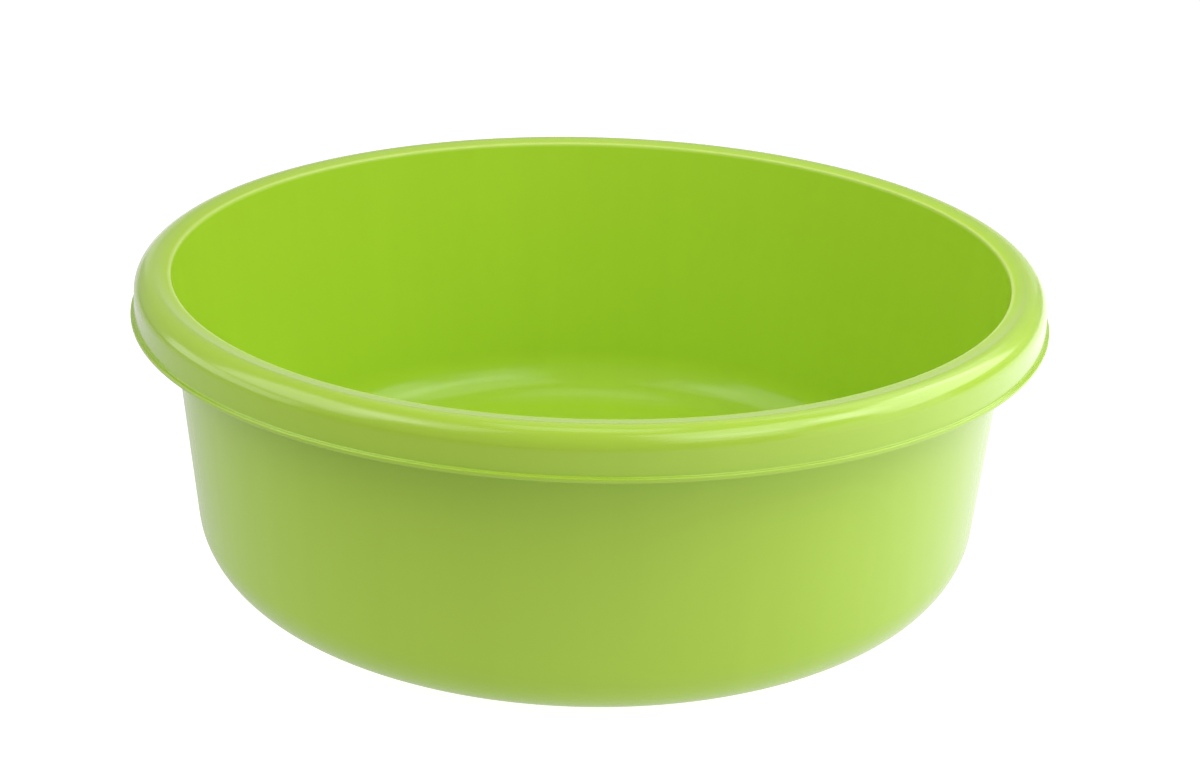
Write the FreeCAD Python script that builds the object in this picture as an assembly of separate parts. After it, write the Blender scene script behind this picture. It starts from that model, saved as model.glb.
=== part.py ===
import FreeCAD, Part
import math
import os

# Round washing-up bowl, moulded in one piece from tough plastic.
# The moulding is divided into ring and disc zones that meet face to face.
# Millimetres and degrees. +Z is up, the origin is on the table under the bowl's centre.

# Driving sizes of the bowl
bowl_height = 126.0        # table to the crest of the rim
mouth_diameter = 328.4     # inside of the wall, carried up to the height of the crest
wall_thickness = 1.8       # wall, flange and skirt
floor_thickness = 2.2
wall_draft = 5.0           # lean of the wall, so that the bowl leaves its mould
cove_radius = 25.0         # inside curve between wall and floor

# Driving sizes of the rim, which turns out and down round the mouth
rim_width = 15.8           # inside of the wall at the crest, out to the edge of the lip
rim_depth = 17.4           # crest to the underside of the lip
flange_rise = 10.0         # climb of the rim's top, from the mouth out to the crest
mouth_rounding = 0.8       # crisp edge round the mouth, between the wall and the flange's top
mouth_channel = 0.7        # small inside curve under the flange, against the wall
shoulder_channel = 5.8     # large inside curve under the shoulder
skirt_draft = 2.0          # the skirt leans out a little towards its lip
lip_projection = 1.3       # lip beyond the face of the skirt
lip_height = 1.7

# Driving sizes of the underside
foot_height = 1.2
foot_width = 5.0
foot_inset = 4.0           # edge of the flat underside, in to the foot ring
gate_diameter = 5.0        # pip left where the plastic was injected
gate_height = 0.5

# Share of the smaller side of a small section that each of its rounded corners takes
rounding_share = 0.4

# Radii, angles and heights that follow from the driving sizes
draft = math.radians(wall_draft)
rise = math.radians(flange_rise)
skirt_lean = math.radians(skirt_draft)
mouth_radius = mouth_diameter / 2
rim_radius = mouth_radius + rim_width
gate_radius = gate_diameter / 2
shoulder_radius = shoulder_channel + wall_thickness
corner_radius = cove_radius + wall_thickness
lip_rounding = rounding_share * min(lip_height, lip_projection)
gate_rounding = rounding_share * min(gate_height, gate_radius)
foot_rounding = rounding_share * min(foot_height, foot_width)
floor_under = foot_height
floor_top = floor_under + floor_thickness
gate_under = floor_under - gate_height
lip_under = bowl_height - rim_depth
lip_top = lip_under + lip_height


def wall_inside(height):
    """Radius of the wall's inner face at a height."""
    return mouth_radius - (bowl_height - height) * math.tan(draft)


def wall_outside(height):
    """Radius of the wall's outer face at a height."""
    return wall_inside(height) + wall_thickness / math.cos(draft)


def skirt_outside(height):
    """Radius of the skirt's outer face at a height."""
    return rim_radius - lip_projection - (height - lip_under) * math.tan(skirt_lean)


def skirt_inside(height):
    """Radius of the skirt's inner face at a height."""
    return skirt_outside(height) - wall_thickness / math.cos(skirt_lean)


# The shoulder's curve touches the skirt and has the crest of the rim at its top
shoulder_height = bowl_height - shoulder_radius
shoulder_centre = skirt_outside(shoulder_height) - shoulder_radius / math.cos(skirt_lean)


def flange_height(radius, depth):
    """Height of the flange at a radius, at a depth below its top face."""
    climb = shoulder_radius - depth + (radius - shoulder_centre) * math.sin(rise)
    return shoulder_height + climb / math.cos(rise)


def meet(face, depth):
    """Corner where a wall or skirt face, carried up, crosses the flange at a depth below its top."""
    low, high = lip_under, bowl_height
    low_gap = flange_height(face(low), depth) - low
    high_gap = flange_height(face(high), depth) - high
    height = low + (high - low) * low_gap / (low_gap - high_gap)
    return face(height), height


# Curves between wall and floor, inside and outside: centre radius and centre height
cove_height = floor_top + cove_radius
cove_centre = wall_inside(cove_height) - cove_radius / math.cos(draft)
corner_height = floor_under + corner_radius
corner_centre = wall_outside(corner_height) - corner_radius / math.cos(draft)

# Places of the joints between zones
flat_radius = min(cove_centre, corner_centre)
floor_joint = flat_radius - foot_inset / 2
cove_joint = cove_height - cove_radius * math.sin(math.pi / 4)
wall_bottom = max(cove_height, corner_height)
channel_depth = wall_thickness + mouth_channel
wall_top = meet(lambda height: wall_inside(height) + channel_depth / math.cos(draft), channel_depth)[1]
crest_joint = shoulder_centre
skirt_top = shoulder_height


def rounded_section(corners):
    """Face in the XZ plane through (radius, height, rounding) corners, rounded by tangent arcs."""
    points = [FreeCAD.Vector(radius, 0, height) for radius, height, rounding in corners]
    stretches = []
    for index, corner in enumerate(points):
        rounding = corners[index][2]
        back = (points[index - 1] - corner).normalize()
        ahead = (points[(index + 1) % len(points)] - corner).normalize()
        half_angle = back.getAngle(ahead) / 2
        reach = rounding / math.tan(half_angle)
        sagitta = rounding / math.sin(half_angle) - rounding
        middle = corner + (back + ahead).normalize() * sagitta
        stretches.append((corner + back * reach, middle, corner + ahead * reach))
    edges = []
    for index, (start, middle, end) in enumerate(stretches):
        if corners[index][2] > 0:
            edges.append(Part.Arc(start, middle, end).toShape())
        edges.append(Part.makeLine(end, stretches[(index + 1) % len(stretches)][0]))
    return Part.Face(Part.Wire(edges))


def turned(section):
    """Solid made by turning a section once round the bowl's axis."""
    return section.revolve(FreeCAD.Vector(0, 0, 0), FreeCAD.Vector(0, 0, 1), 360)


def quartered(section):
    """Ring in four quarters that meet face to face, each a shallow curve, for the zones of thin shell."""
    quarter = section.revolve(FreeCAD.Vector(0, 0, 0), FreeCAD.Vector(0, 0, 1), 90)
    turns = [FreeCAD.Rotation(FreeCAD.Vector(0, 0, 1), angle) for angle in (0, 90, 180, 270)]
    return Part.makeCompound([quarter.transformed(turn.toMatrix()) for turn in turns])


def foot_section():
    """Low ring under the floor that the bowl stands on."""
    outside = flat_radius - foot_inset
    inside = outside - foot_width
    return rounded_section([
        (inside, 0, foot_rounding),
        (outside, 0, foot_rounding),
        (outside, floor_under, 0),
        (inside, floor_under, 0),
    ])


def shell_section():
    """Everything above the foot ring: floor, cove, wall and rim, drawn as one outline."""
    return rounded_section([
        (0, gate_under, 0),
        (gate_radius, gate_under, gate_rounding),
        (gate_radius, floor_under, 0),
        (wall_outside(floor_under), floor_under, corner_radius),
        (*meet(wall_outside, wall_thickness), mouth_channel),
        (*meet(skirt_inside, wall_thickness), shoulder_channel),
        (skirt_inside(lip_under), lip_under, lip_rounding),
        (rim_radius, lip_under, lip_rounding),
        (rim_radius, lip_top, lip_rounding),
        (skirt_outside(lip_top), lip_top, lip_rounding),
        (*meet(skirt_outside, 0), shoulder_radius),
        (*meet(wall_inside, 0), mouth_rounding),
        (wall_inside(floor_top), floor_top, cove_radius),
        (0, floor_top, 0),
    ])


def between(section, radii, heights):
    """Part of a section between two radii and between two heights."""
    corners = [(radii[0], heights[0]), (radii[1], heights[0]), (radii[1], heights[1]), (radii[0], heights[1])]
    window = rounded_section([(radius, height, 0) for radius, height in corners])
    return section.common(window).Faces[0]


# Windows on the shell's section, a little larger than the shell where they end in the open
beyond_rim = rim_radius + rim_width
above_rim = bowl_height + rim_depth
shell = shell_section()
sections = {
    "foot_ring": foot_section(),
    "floor_disc": between(shell, (0, floor_joint), (0, wall_bottom)),
    "lower_cove": between(shell, (floor_joint, crest_joint), (0, cove_joint)),
    "upper_cove": between(shell, (floor_joint, crest_joint), (cove_joint, wall_bottom)),
    "side_wall": between(shell, (floor_joint, crest_joint), (wall_bottom, wall_top)),
    "rim_flange": between(shell, (floor_joint, crest_joint), (wall_top, above_rim)),
    "rim_shoulder": between(shell, (crest_joint, beyond_rim), (skirt_top, above_rim)),
    "rim_skirt": between(shell, (crest_joint, beyond_rim), (0, skirt_top)),
}

# The two zones that lie flat are whole, and every zone of thin curved shell is in quarters
whole_zones = ("foot_ring", "floor_disc")

os.makedirs("parts", exist_ok=True)
for node, section in sections.items():
    zone = turned(section) if node in whole_zones else quartered(section)
    zone.exportStep(os.path.join("parts", node + ".step"))
    box = zone.optimalBoundingBox(False, False)
    print(f"{node}: {len(zone.Solids)} solids, valid {zone.isValid()}, {zone.Volume / 1000:.2f} cm3, "
          f"radius {box.XMax:.2f}, height {box.ZMin:.2f} to {box.ZMax:.2f}")
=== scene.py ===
# %% [markdown]
# # A round washing-up bowl
# The real bowl is one thin shell of lime-green plastic, made in a two-part steel mould.
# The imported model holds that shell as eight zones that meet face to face: a foot ring, the floor,
# two parts of the curved corner, the wall, and three parts of the turned-down rim.
# We load those zones first, because everything that we make has to sit exactly where they are.

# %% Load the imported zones
import bpy
import math
from mathutils import Matrix, Vector


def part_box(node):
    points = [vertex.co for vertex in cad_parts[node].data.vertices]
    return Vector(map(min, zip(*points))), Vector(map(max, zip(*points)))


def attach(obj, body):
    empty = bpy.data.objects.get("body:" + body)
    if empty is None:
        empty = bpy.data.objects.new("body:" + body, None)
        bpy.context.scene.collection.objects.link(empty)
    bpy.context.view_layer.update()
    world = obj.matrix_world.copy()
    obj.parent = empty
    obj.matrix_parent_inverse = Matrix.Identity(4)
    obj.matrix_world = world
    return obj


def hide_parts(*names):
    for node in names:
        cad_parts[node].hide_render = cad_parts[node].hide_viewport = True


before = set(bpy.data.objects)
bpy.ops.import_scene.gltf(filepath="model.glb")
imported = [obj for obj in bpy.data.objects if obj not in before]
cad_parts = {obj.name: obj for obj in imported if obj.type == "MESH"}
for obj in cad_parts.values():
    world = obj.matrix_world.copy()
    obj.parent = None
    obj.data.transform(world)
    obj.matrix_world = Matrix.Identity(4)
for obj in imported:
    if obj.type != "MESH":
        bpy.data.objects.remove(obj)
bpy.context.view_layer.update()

zone_boxes = {zone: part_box(zone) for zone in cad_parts}
for zone, (low, high) in zone_boxes.items():
    print(f"{zone}: radius {high.x * 1000:.2f} mm, height {low.z * 1000:.2f} to {high.z * 1000:.2f} mm")

# %% [markdown]
# ## The section
# Every cut through the bowl's axis shows the same thin section, so the whole shape is one outline.
# We could trace that outline point by point, but a drawing office would give corners and roundings,
# and so do we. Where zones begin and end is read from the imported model. Only the few sizes that
# its boxes can't tell, such as the thickness and the slopes, are written here.

# %% Sizes of the section
MM = 0.001
wall_thickness = 1.8 * MM
wall_draft = math.radians(5.0)
skirt_draft = math.radians(2.0)
flange_rise = math.radians(10.0)
cove_rounding = 25.0 * MM
mouth_rounding = 0.8 * MM
mouth_channel = 0.7 * MM
lip_projection = 1.3 * MM
lip_height = 1.7 * MM
lip_rounding = 0.52 * MM
foot_width = 5.0 * MM
foot_rounding = 0.48 * MM
pip_radius = 2.5 * MM
pip_rounding = 0.2 * MM

crest = zone_boxes["rim_flange"][1].z
crest_joint = zone_boxes["rim_flange"][1].x
rim_radius = zone_boxes["rim_skirt"][1].x
lip_under = zone_boxes["rim_skirt"][0].z
skirt_top = zone_boxes["rim_skirt"][1].z
wall_top = zone_boxes["side_wall"][1].z
wall_bottom = zone_boxes["side_wall"][0].z
cove_joint = zone_boxes["lower_cove"][1].z
floor_joint = zone_boxes["floor_disc"][1].x
floor_top = zone_boxes["floor_disc"][1].z
pip_under = zone_boxes["floor_disc"][0].z
floor_under = zone_boxes["foot_ring"][1].z
foot_outside = zone_boxes["foot_ring"][1].x
shoulder_rounding = crest - skirt_top
print(f"rim {rim_radius * 2000:.1f} mm across, crest {crest * 1000:.1f} mm high")

# %% [markdown]
# A corner of the outline lies where two straight faces would cross. The wall and the skirt are each
# given by their radius at a height, and the flange by its height at a radius. Two straight lines
# cross where the gap between them is nothing, which we find from the gap at two heights. Measured level
# through the leaning wall, or upright through the sloping flange, the plastic is a little thicker than
# it is straight through, and the stretches allow for that.

# %% Faces of the section and where they cross
wall_slope = math.tan(wall_draft)
wall_stretch = 1 / math.cos(wall_draft)
skirt_slope = math.tan(skirt_draft)
skirt_stretch = 1 / math.cos(skirt_draft)
flange_slope = math.tan(flange_rise)
flange_stretch = 1 / math.cos(flange_rise)


def wall_outside(height):
    return zone_boxes["side_wall"][1].x - (wall_top - height) * wall_slope


def wall_inside(height):
    return wall_outside(height) - wall_thickness * wall_stretch


def skirt_outside(height):
    return rim_radius - lip_projection - (height - lip_under) * skirt_slope


def skirt_inside(height):
    return skirt_outside(height) - wall_thickness * skirt_stretch


def flange_top(radius):
    return skirt_top + shoulder_rounding * flange_stretch + (radius - crest_joint) * flange_slope


def flange_under(radius):
    return flange_top(radius) - wall_thickness * flange_stretch


def crossing(upright_face, flange_face):
    low_gap = flange_face(upright_face(lip_under)) - lip_under
    high_gap = flange_face(upright_face(crest)) - crest
    height = lip_under + (crest - lip_under) * low_gap / (low_gap - high_gap)
    return upright_face(height), height


mouth_corner = crossing(wall_inside, flange_top)
print(f"mouth edge at radius {mouth_corner[0] * 1000:.2f} mm, height {mouth_corner[1] * 1000:.2f} mm")

# %% [markdown]
# The steel that shapes the outside and the rim is polished, because that is what the eye meets first.
# The steel that shapes the inside is left a little duller, so that scratches from cutlery show less.
# So each corner of the outline has a radius, a height, a rounding and a polish, from 0 for the inside to
# 1 for the rim, with the wall's outside between them. The flange fades from the polished shoulder to the
# dull mouth. Two more points, one on each side of the mouth's edge, end that fade and keep narrow the
# pale line that is painted along the edge as a painted highlight.

# %% Corners of the outline
DULL = 0.0
GLOSSY = 0.6
POLISHED = 1.0
edge_reach = 2 * mouth_rounding
flange_start = mouth_corner[0] + edge_reach
wall_end = mouth_corner[1] - edge_reach
shell_corners = [
    (0, pip_under, 0, GLOSSY),
    (pip_radius, pip_under, pip_rounding, GLOSSY),
    (pip_radius, floor_under, 0, GLOSSY),
    (wall_outside(floor_under), floor_under, cove_rounding + wall_thickness, GLOSSY),
    (*crossing(wall_outside, flange_under), mouth_channel, GLOSSY),
    (*crossing(skirt_inside, flange_under), shoulder_rounding - wall_thickness, POLISHED),
    (skirt_inside(lip_under), lip_under, lip_rounding, POLISHED),
    (rim_radius, lip_under, lip_rounding, POLISHED),
    (rim_radius, lip_under + lip_height, lip_rounding, POLISHED),
    (skirt_outside(lip_under + lip_height), lip_under + lip_height, lip_rounding, POLISHED),
    (*crossing(skirt_outside, flange_top), shoulder_rounding, POLISHED),
    (flange_start, flange_top(flange_start), 0, DULL),
    (*mouth_corner, mouth_rounding, DULL),
    (wall_inside(wall_end), wall_end, 0, DULL),
    (wall_inside(floor_top), floor_top, cove_rounding, DULL),
    (0, floor_top, 0, DULL),
]
foot_inside = foot_outside - foot_width
foot_corners = [
    (foot_inside, 0, foot_rounding, GLOSSY),
    (foot_outside, 0, foot_rounding, GLOSSY),
    (foot_outside, floor_under, 0, GLOSSY),
    (foot_inside, floor_under, 0, GLOSSY),
]
print(f"shell {len(shell_corners)} corners, foot {len(foot_corners)} corners")

# %% [markdown]
# A rounded corner becomes a short run of points on an arc. A bevel on the finished mesh could round it
# too, but here the arc's centre and ends are known exactly, so that its points lie where the drawing
# has them. Large roundings get a point every few degrees, and small ones only a few points.

# %% Outline with rounded corners
arc_step = math.radians(4.0)
shortest_step = 0.3 * MM
fewest_arc_steps = 6


def rounded_outline(corners):
    outline = []
    for index, (radius, height, rounding, polish) in enumerate(corners):
        corner = Vector((radius, height))
        back = (Vector(corners[index - 1][:2]) - corner).normalized()
        ahead = (Vector(corners[(index + 1) % len(corners)][:2]) - corner).normalized()
        if rounding == 0:
            outline.append((radius, height, polish))
            continue
        half_angle = back.angle(ahead) / 2
        centre = corner + (back + ahead).normalized() * rounding / math.sin(half_angle)
        reach = rounding / math.tan(half_angle)
        first = (corner + back * reach - centre).normalized()
        last = (corner + ahead * reach - centre).normalized()
        bend = math.pi - 2 * half_angle
        steps = math.ceil(min(bend / arc_step, bend * rounding / shortest_step))
        steps = max(fewest_arc_steps, steps)
        for step in range(steps + 1):
            point = centre + first.slerp(last, step / steps) * rounding
            outline.append((point.x, point.y, polish))
    return outline


rounded_shell = rounded_outline(shell_corners)
foot_outline = rounded_outline(foot_corners)
print(f"rounded shell {len(rounded_shell)} points, foot outline {len(foot_outline)} points")

# %% [markdown]
# Blender shades a smooth mesh by blending the direction of neighbouring faces, so a long flat face
# beside an arc would look slightly bent. A pair of support points close to the ends of each long
# straight stretch keeps flat faces flat.

# %% Support points
support_distance = 0.8 * MM
long_stretch = 4 * support_distance


def supported(outline):
    points = []
    for index, start in enumerate(outline):
        end = outline[(index + 1) % len(outline)]
        points.append(start)
        length = math.dist(start[:2], end[:2])
        if length > long_stretch:
            for share in (support_distance / length, 1 - support_distance / length):
                points.append(tuple(a + (b - a) * share for a, b in zip(start, end)))
    return points


shell_outline = supported(rounded_shell)
print(f"shell outline {len(shell_outline)} points")

# %% [markdown]
# The shell's outline is then cut by windows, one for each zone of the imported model. A cut through
# the middle of a short straight stretch leaves the same direction on both sides, so the zones shade
# as one smooth skin and no seam shows between them.

# %% Cut the outline into zones
def trimmed(outline, axis, limit, keep_above):
    sign = 1 if keep_above else -1
    kept = []
    for index, point in enumerate(outline):
        last = outline[index - 1]
        here = sign * (point[axis] - limit)
        before = sign * (last[axis] - limit)
        if here * before < 0:
            share = before / (before - here)
            polish = point[2] if here > 0 else last[2]
            cut = [a + (b - a) * share for a, b in zip(last[:2], point[:2])]
            kept.append((*cut, polish))
        if here >= 0:
            kept.append(point)
    return kept


def window(low_radius, high_radius, low_height, high_height):
    outline = trimmed(shell_outline, 0, low_radius, True)
    outline = trimmed(outline, 0, high_radius, False)
    outline = trimmed(outline, 1, low_height, True)
    return trimmed(outline, 1, high_height, False)


beyond = 2 * rim_radius
outlines = {
    "foot_ring": foot_outline,
    "floor_disc": window(0, floor_joint, 0, wall_bottom),
    "lower_cove": window(floor_joint, crest_joint, 0, cove_joint),
    "upper_cove": window(floor_joint, crest_joint, cove_joint, wall_bottom),
    "side_wall": window(floor_joint, crest_joint, wall_bottom, wall_top),
    "rim_flange": window(floor_joint, crest_joint, wall_top, beyond),
    "rim_shoulder": window(crest_joint, beyond, skirt_top, beyond),
    "rim_skirt": window(crest_joint, beyond, 0, skirt_top),
}
for zone, outline in outlines.items():
    print(f"{zone}: {len(outline)} points")

# %% [markdown]
# ## The lathe
# The bowl is a body of revolution, which is a rule, so Geometry Nodes make it. One tree serves all the
# zones: only its inputs differ. A modifier knows each input by an identifier and not by its name, so
# we keep a list of those.

# %% Inputs of the lathe
lathe = bpy.data.node_groups.new("bowl lathe", "GeometryNodeTree")
lathe.interface.new_socket("Outline", in_out="INPUT", socket_type="NodeSocketGeometry")
lathe.interface.new_socket("Steps Round", in_out="INPUT", socket_type="NodeSocketInt")
lathe.interface.new_socket("Sharp Angle", in_out="INPUT", socket_type="NodeSocketFloat")
lathe.interface.new_socket("Plastic", in_out="INPUT", socket_type="NodeSocketMaterial")
lathe.interface.new_socket("Turned", in_out="OUTPUT", socket_type="NodeSocketGeometry")
lathe_sockets = lathe.interface.items_tree
lathe_inputs = {item.name: item.identifier for item in lathe_sockets if item.in_out == "INPUT"}
print("lathe inputs:", ", ".join(lathe_inputs))

# %% [markdown]
# The tree lays an outline flat, turns it into a curve and sweeps it round a very small circle on the
# axis. Points on the axis then fall together and are merged, and edges that bend sharply are marked as
# sharp. The Spin tool or a Screw modifier would give the same shape, but a tree can be read step by step.

# %% Nodes of the lathe
path_radius = 1.0 * MM
pole_gap = 0.001 * MM


def add_lathe_nodes(tree):
    add = tree.nodes.new
    link = tree.links.new
    given = add("NodeGroupInput")
    lay_flat = add("GeometryNodeTransform")
    lay_flat.inputs["Rotation"].default_value = (math.pi / 2, 0, 0)
    lay_flat.inputs["Translation"].default_value = (-path_radius, 0, 0)
    to_curve = add("GeometryNodeMeshToCurve")
    path = add("GeometryNodeCurvePrimitiveCircle")
    path.inputs["Radius"].default_value = path_radius
    sweep = add("GeometryNodeCurveToMesh")
    close_poles = add("GeometryNodeMergeByDistance")
    close_poles.inputs["Distance"].default_value = pole_gap
    face_out = add("GeometryNodeFlipFaces")
    bend = add("GeometryNodeInputMeshEdgeAngle")
    is_sharp = add("FunctionNodeCompare")
    is_sharp.operation = "GREATER_THAN"
    mark_sharp = add("GeometryNodeSetShadeSmooth")
    mark_sharp.domain = "EDGE"
    mark_sharp.inputs["Shade Smooth"].default_value = False
    realize = add("GeometryNodeRealizeInstances")
    finish = add("GeometryNodeSetMaterial")
    result = add("NodeGroupOutput")
    link(given.outputs["Outline"], lay_flat.inputs["Geometry"])
    link(lay_flat.outputs["Geometry"], to_curve.inputs["Mesh"])
    link(given.outputs["Steps Round"], path.inputs["Resolution"])
    link(path.outputs["Curve"], sweep.inputs["Curve"])
    link(to_curve.outputs["Curve"], sweep.inputs["Profile Curve"])
    link(sweep.outputs["Mesh"], close_poles.inputs["Geometry"])
    link(close_poles.outputs["Geometry"], face_out.inputs["Mesh"])
    link(bend.outputs["Unsigned Angle"], is_sharp.inputs[0])
    link(given.outputs["Sharp Angle"], is_sharp.inputs[1])
    link(face_out.outputs["Mesh"], mark_sharp.inputs["Geometry"])
    link(is_sharp.outputs["Result"], mark_sharp.inputs["Selection"])
    link(mark_sharp.outputs["Geometry"], realize.inputs["Geometry"])
    link(realize.outputs["Geometry"], finish.inputs["Geometry"])
    link(given.outputs["Plastic"], finish.inputs["Material"])
    link(finish.outputs["Geometry"], result.inputs["Turned"])


add_lathe_nodes(lathe)
print(f"lathe: {len(lathe.nodes)} nodes, {len(lathe.links)} links")

# %% [markdown]
# ## The plastic
# Polypropylene is coloured all through. Close up it is never one flat colour: the melt runs from the
# pip in the middle to the rim and leaves faint streaks along the way, and the pigment is a little cloudy.
# Both are noise on the bowl's own coordinates, so the pattern stays in place from every side, and the
# streaks come from noise that changes more slowly outwards than round the axis. The mouth's edge is
# painted a little paler, a painted highlight for the glint on its small rounding, which a mark on the
# outline's points tells the material.

# %% Colour of the plastic
plastic = bpy.data.materials.new("lime polypropylene")
plastic.use_nodes = True
plastic_nodes = plastic.node_tree.nodes
plastic_place = plastic_nodes.new("ShaderNodeTexCoord").outputs["Object"]
plastic_shader = plastic_nodes["Principled BSDF"]
lime = (0.456, 0.700, 0.040, 1)
cloudy_lime = (0.478, 0.728, 0.044, 1)
# Paler colour of the painted highlight, a pale line painted on the mouth's edge.
painted_highlight_lime = (0.62, 0.82, 0.16, 1)
streak_spread = 2.5


def noise_on(tree, place, scale, detail):
    noise = tree.nodes.new("ShaderNodeTexNoise")
    noise.inputs["Scale"].default_value = scale
    noise.inputs["Detail"].default_value = detail
    tree.links.new(place, noise.inputs["Vector"])
    return noise.outputs["Fac"]


def flow_place(tree, place):
    add = tree.nodes.new
    link = tree.links.new
    across = add("ShaderNodeVectorMath")
    across.operation = "MULTIPLY"
    across.inputs[1].default_value = (1, 1, 0)
    direction = add("ShaderNodeVectorMath")
    direction.operation = "NORMALIZE"
    along = add("ShaderNodeVectorMath")
    along.operation = "MULTIPLY_ADD"
    along.inputs[1].default_value = (streak_spread, streak_spread, streak_spread)
    link(place, across.inputs[0])
    link(across.outputs["Vector"], direction.inputs[0])
    link(direction.outputs["Vector"], along.inputs[0])
    link(place, along.inputs[2])
    return along.outputs["Vector"]


def add_colour(tree, place, shader):
    add = tree.nodes.new
    link = tree.links.new
    streaks = noise_on(tree, flow_place(tree, place), scale=5.0, detail=4.0)
    cloud = noise_on(tree, place, scale=11.0, detail=3.0)
    mixture = add("ShaderNodeMath")
    mixture.operation = "ADD"
    shade = add("ShaderNodeMapRange")
    shade.inputs["From Min"].default_value = 0.6
    shade.inputs["From Max"].default_value = 1.4
    colour = add("ShaderNodeMix")
    colour.data_type = "RGBA"
    colour.inputs["A"].default_value = lime
    colour.inputs["B"].default_value = cloudy_lime
    # The mark paints a pale line on the mouth's edge: a painted highlight for the glint of its small
    # rounding.
    highlight_mark = add("ShaderNodeAttribute")
    highlight_mark.attribute_name = "painted_highlight"
    paler = add("ShaderNodeMix")
    paler.data_type = "RGBA"
    paler.inputs["B"].default_value = painted_highlight_lime
    link(streaks, mixture.inputs[0])
    link(cloud, mixture.inputs[1])
    link(mixture.outputs["Value"], shade.inputs["Value"])
    link(shade.outputs["Result"], colour.inputs["Factor"])
    link(highlight_mark.outputs["Fac"], paler.inputs["Factor"])
    link(colour.outputs["Result"], paler.inputs["A"])
    link(paler.outputs["Result"], shader.inputs["Base Color"])


add_colour(plastic.node_tree, plastic_place, plastic_shader)
print(f"colour of the plastic: {len(plastic_nodes)} nodes")

# %% [markdown]
# Polished steel leaves a clear, bright skin on the plastic, and duller steel leaves none. One roughness
# for all would show that badly, so the shader's coat stands for the skin, and the polish that the
# outline's points carry says how much of it there is. Handling leaves the gloss below it a little uneven.

# %% Skin of the plastic
plastic_shader.inputs["IOR"].default_value = 1.49
plastic_shader.inputs["Specular IOR Level"].default_value = 0.4
plastic_shader.inputs["Coat Roughness"].default_value = 0.15
bare_roughness = 0.17
coated_roughness = 0.24
handling_spread = 0.06


def add_skin(tree, place, shader):
    add = tree.nodes.new
    link = tree.links.new
    polish = add("ShaderNodeAttribute")
    polish.attribute_name = "polish"
    roughness = add("ShaderNodeMapRange")
    roughness.inputs["To Min"].default_value = bare_roughness
    roughness.inputs["To Max"].default_value = coated_roughness
    handling = noise_on(tree, place, scale=45.0, detail=5.0)
    uneven = add("ShaderNodeMath")
    uneven.operation = "MULTIPLY_ADD"
    uneven.inputs[1].default_value = handling_spread
    settled = add("ShaderNodeMath")
    settled.operation = "SUBTRACT"
    settled.inputs[1].default_value = handling_spread / 2
    link(polish.outputs["Fac"], shader.inputs["Coat Weight"])
    link(polish.outputs["Fac"], roughness.inputs["Value"])
    link(handling, uneven.inputs[0])
    link(roughness.outputs["Result"], uneven.inputs[2])
    link(uneven.outputs["Value"], settled.inputs[0])
    link(settled.outputs["Value"], shader.inputs["Roughness"])


add_skin(plastic.node_tree, plastic_place, plastic_shader)
print(f"with its skin: {len(plastic_nodes)} nodes")

# %% [markdown]
# No moulding is perfectly flat. As it cools, the wall pulls into long, shallow waves that bend the
# reflections a little, and the steel leaves a very fine grain. Both are far too shallow to be worth
# modelling, so two bumps, one on the other, tilt the light instead.

# %% Waves and grain of the plastic
wave_depth = 0.2 * MM
grain_depth = 0.01 * MM


def add_relief(tree, place, shader):
    link = tree.links.new
    wave_bump = tree.nodes.new("ShaderNodeBump")
    wave_bump.inputs["Strength"].default_value = 0.3
    wave_bump.inputs["Distance"].default_value = wave_depth
    grain_bump = tree.nodes.new("ShaderNodeBump")
    grain_bump.inputs["Strength"].default_value = 0.1
    grain_bump.inputs["Distance"].default_value = grain_depth
    link(noise_on(tree, place, scale=28.0, detail=1.0), wave_bump.inputs["Height"])
    link(noise_on(tree, place, scale=1800.0, detail=2.0), grain_bump.inputs["Height"])
    link(wave_bump.outputs["Normal"], grain_bump.inputs["Normal"])
    link(grain_bump.outputs["Normal"], shader.inputs["Normal"])


add_relief(plastic.node_tree, plastic_place, plastic_shader)
print(f"with waves and grain: {len(plastic_nodes)} nodes")

# %% [markdown]
# ## Turning the zones
# Each outline is a small mesh of points and edges. The edge that would lie on the axis is left out,
# because the axis needs a single point at each end and no face. The outline's points carry the polish,
# and those of the rounded mouth edge carry the mark for the painted highlight, a pale line painted on the
# edge.

# %% Outline as a small mesh
# Points close to the rounded mouth edge are marked for the painted highlight, a pale line painted there.
highlight_paint_reach = 1.2 * mouth_rounding
axis_reach = 0.1 * MM


def mouth_highlight_paint(radius, height):
    return 1.0 if math.dist((radius, height), mouth_corner) < highlight_paint_reach else 0.0


def outline_mesh(name, outline):
    count = len(outline)
    pairs = [(index, (index + 1) % count) for index in range(count)]
    edges = [(a, b) for a, b in pairs if max(outline[a][0], outline[b][0]) > axis_reach]
    mesh = bpy.data.meshes.new(name)
    mesh.from_pydata([(radius, 0, height) for radius, height, polish in outline], edges, [])
    polish_of = mesh.attributes.new("polish", "FLOAT", "POINT")
    polish_of.data.foreach_set("value", [polish for radius, height, polish in outline])
    # The painted highlight's mark, 1 on the mouth's edge and 0 elsewhere.
    highlight_paint_of = mesh.attributes.new("painted_highlight", "FLOAT", "POINT")
    highlight_paint_of.data.foreach_set("value", [mouth_highlight_paint(radius, height) for radius, height, polish in outline])
    return mesh


highlight_paint_points = sum(mouth_highlight_paint(radius, height) for radius, height, polish in shell_outline)
print(f"{highlight_paint_points:.0f} highlight_painted points on the outline")

# %% [markdown]
# Then the lathe turns each outline. The tree's inputs are set by their identifiers before Blender looks
# at the object, and the result is taken off as a plain mesh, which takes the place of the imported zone.

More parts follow.
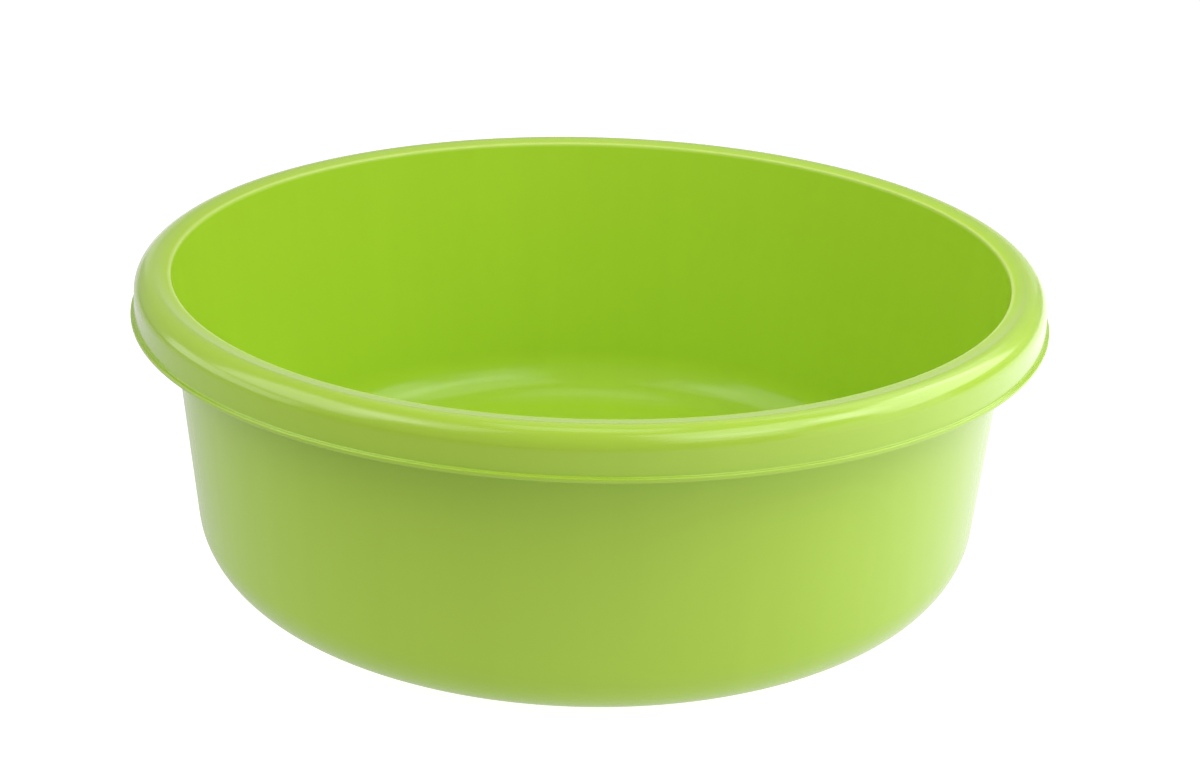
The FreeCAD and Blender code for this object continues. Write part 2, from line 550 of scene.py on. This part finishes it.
# %% Turn every zone
steps_round = 288
sharp_angle = math.radians(35.0)
piece_names = {
    "foot_ring": "standing_ring",
    "floor_disc": "floor_panel",
    "lower_cove": "lower_corner",
    "upper_cove": "upper_corner",
    "side_wall": "tapered_wall",
    "rim_flange": "mouth_edge",
    "rim_shoulder": "rolled_shoulder",
    "rim_skirt": "skirt_and_lip",
}


def turn(name, outline):
    piece = bpy.data.objects.new(name, outline_mesh(name, outline))
    bpy.context.scene.collection.objects.link(piece)
    modifier = piece.modifiers.new("lathe", "NODES")
    modifier.node_group = lathe
    modifier[lathe_inputs["Steps Round"]] = steps_round
    modifier[lathe_inputs["Sharp Angle"]] = sharp_angle
    modifier[lathe_inputs["Plastic"]] = plastic
    graph = bpy.context.evaluated_depsgraph_get()
    turned = bpy.data.meshes.new_from_object(piece.evaluated_get(graph))
    piece.modifiers.remove(modifier)
    piece.data = turned
    turned.name = name
    return piece


for zone, outline in outlines.items():
    piece = turn(piece_names[zone], outline)
    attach(piece, "root")
    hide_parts(zone)
    print(f"{piece.name}: {len(piece.data.vertices)} points, {len(piece.data.polygons)} faces")

# %% [markdown]
# ## The studio
# The bowl stands on a white light table in front of white. The glass lights the lower wall from below,
# most at the right and towards the back, and fades towards the front left. A camera sees such a table as
# plain white, so the material gives camera rays an even white and all other rays the glow. From below
# the glass is clear, so that the underside can be looked at too.

# %% Glass of the light table
seen_white = 0.95
glow_turn = math.radians(30.0)


def light_table_glass():
    material = bpy.data.materials.new("light table glass")
    material.use_nodes = True
    add = material.node_tree.nodes.new
    link = material.node_tree.links.new
    shader = material.node_tree.nodes["Principled BSDF"]
    shader.inputs["Base Color"].default_value = (0.3, 0.3, 0.3, 1)
    shader.inputs["Roughness"].default_value = 0.6
    shader.inputs["Emission Strength"].default_value = 1.0
    place = add("ShaderNodeTexCoord")
    back_right = add("ShaderNodeVectorMath")
    back_right.operation = "DOT_PRODUCT"
    back_right.inputs[1].default_value = (math.cos(glow_turn), math.sin(glow_turn), 0)
    glow = add("ShaderNodeMapRange")
    glow.inputs["From Min"].default_value = -0.65
    glow.inputs["From Max"].default_value = 0.5
    rays = add("ShaderNodeLightPath")
    seen = add("ShaderNodeMix")
    seen.inputs["B"].default_value = seen_white
    link(place.outputs["Object"], back_right.inputs[0])
    link(back_right.outputs["Value"], glow.inputs["Value"])
    link(rays.outputs["Is Camera Ray"], seen.inputs["Factor"])
    link(glow.outputs["Result"], seen.inputs["A"])
    link(seen.outputs["Result"], shader.inputs["Emission Color"])
    side = add("ShaderNodeNewGeometry")
    clear = add("ShaderNodeBsdfTransparent")
    both_sides = add("ShaderNodeMixShader")
    surface = material.node_tree.nodes["Material Output"].inputs["Surface"]
    link(side.outputs["Backfacing"], both_sides.inputs["Fac"])
    link(shader.outputs["BSDF"], both_sides.inputs[1])
    link(clear.outputs["BSDF"], both_sides.inputs[2])
    link(both_sides.outputs["Shader"], surface)
    return material


glass = light_table_glass()
print(f"{glass.name}: {len(glass.node_tree.nodes)} nodes")

# %% [markdown]
# The table is one large face, a hair below the foot ring so that the two faces don't fall together. It
# reaches further back than forward, because the line between its two triangles would else run under
# the bowl and show there as a faint shade.

# %% Light table
table_half = 6.0
table_front = -4.0
table_back = 8.0
table_top = -0.05 * MM
table_mesh = bpy.data.meshes.new("light_table")
table_corners = [(-table_half, table_front, table_top), (table_half, table_front, table_top),
                 (table_half, table_back, table_top), (-table_half, table_back, table_top)]
table_mesh.from_pydata(table_corners, [], [(0, 1, 2, 3)])
table = bpy.data.objects.new("light_table", table_mesh)
bpy.context.scene.collection.objects.link(table)
table_mesh.materials.append(glass)
print(f"light table {2 * table_half:.0f} m wide, {table_back - table_front:.0f} m deep")

# %% [markdown]
# Behind everything is a dim, even room. A bright softbox stands close at the right and gives the long
# pale highlight on the rim there, and a larger one stands further off at the left. The panels in front,
# high at both sides, are the two pale patches on the curved corner inside. Low panels give the walls and
# the front of the mouth their pale edges, and weak panels above and behind keep the shade open.
# Each panel is given by its turn round the bowl from the back and its rise, in degrees, its distance,
# width and height, in metres, and its brightness.

# %% World and soft panels
world = bpy.data.worlds.new("studio")
bpy.context.scene.world = world
world.use_nodes = True
room = world.node_tree.nodes["Background"]
room.inputs["Color"].default_value = (1, 1, 1, 1)
room.inputs["Strength"].default_value = 0.33
bowl_middle = Vector((0, 0, crest / 2))


def soft_panel(name, azimuth, elevation, distance, width, height, brightness):
    around = math.radians(azimuth)
    up = math.radians(elevation)
    outward = Vector((math.cos(up) * math.sin(around), math.cos(up) * math.cos(around), math.sin(up)))
    lamp = bpy.data.lights.new(name, "AREA")
    lamp.shape = "RECTANGLE"
    lamp.size = width
    lamp.size_y = height
    lamp.energy = brightness * math.pi * width * height
    panel = bpy.data.objects.new(name, lamp)
    bpy.context.scene.collection.objects.link(panel)
    panel.visible_camera = False
    panel.location = bowl_middle + outward * distance
    panel.rotation_euler = (-outward).to_track_quat("-Z", "Y").to_euler()
    print(f"{name}: {lamp.energy:.1f} W")


soft_panel("left softbox", -104, 40, 1.3, 1.0, 0.8, 1.5)
soft_panel("left front panel", -130, 52, 1.3, 0.6, 0.6, 1.0)
soft_panel("low left panel", -90, 10, 1.3, 1.1, 0.4, 1.1)
soft_panel("right softbox", 90, 37, 0.6, 0.5, 0.34, 2.2)
soft_panel("upper right panel", 125, 54, 1.3, 0.9, 0.7, 1.7)
soft_panel("right front panel", 145, 38, 1.3, 0.6, 0.6, 1.2)
soft_panel("right rear panel", 45, 46, 1.3, 0.6, 0.7, 0.7)
soft_panel("low right panel", 112, 12, 1.3, 1.0, 0.5, 0.8)
soft_panel("rear panel", 5, 48, 1.3, 0.8, 0.8, 0.25)
soft_panel("low rear panel", 0, 10, 1.6, 1.8, 0.5, 0.3)
soft_panel("overhead panel", 0, 88, 1.3, 0.5, 0.5, 1.1)

# %% [markdown]
# ## The camera
# The photograph was taken from the front, looking down at about 22 degrees, with the camera turned
# and tilted very slightly. The lens is given for an image 36 mm wide. The plain Standard view keeps the
# plastic's colour as strong as it is, where a film-like view would wash it out.

# %% Place the camera
camera_data = bpy.data.cameras.new("camera")
camera_data.sensor_fit = "HORIZONTAL"
camera_data.sensor_width = 36.0
camera_data.lens = 68.58
camera_data.clip_end = 50.0
camera = bpy.data.objects.new("camera", camera_data)
bpy.context.scene.collection.objects.link(camera)
camera_place = (0, -0.85793, 0.41633)
look_down = math.radians(21.87)
turn_right = math.radians(0.299)
tilt = math.radians(1.529)
aim = Matrix.Rotation(-turn_right, 4, "Z") @ Matrix.Rotation(math.pi / 2 - look_down, 4, "X")
camera.matrix_world = Matrix.Translation(camera_place) @ aim @ Matrix.Rotation(tilt, 4, "Z")
bpy.context.scene.camera = camera
bpy.context.scene.view_settings.view_transform = "Standard"
print(f"camera {math.hypot(*camera_place):.2f} m from the bowl's foot, lens {camera_data.lens} mm")
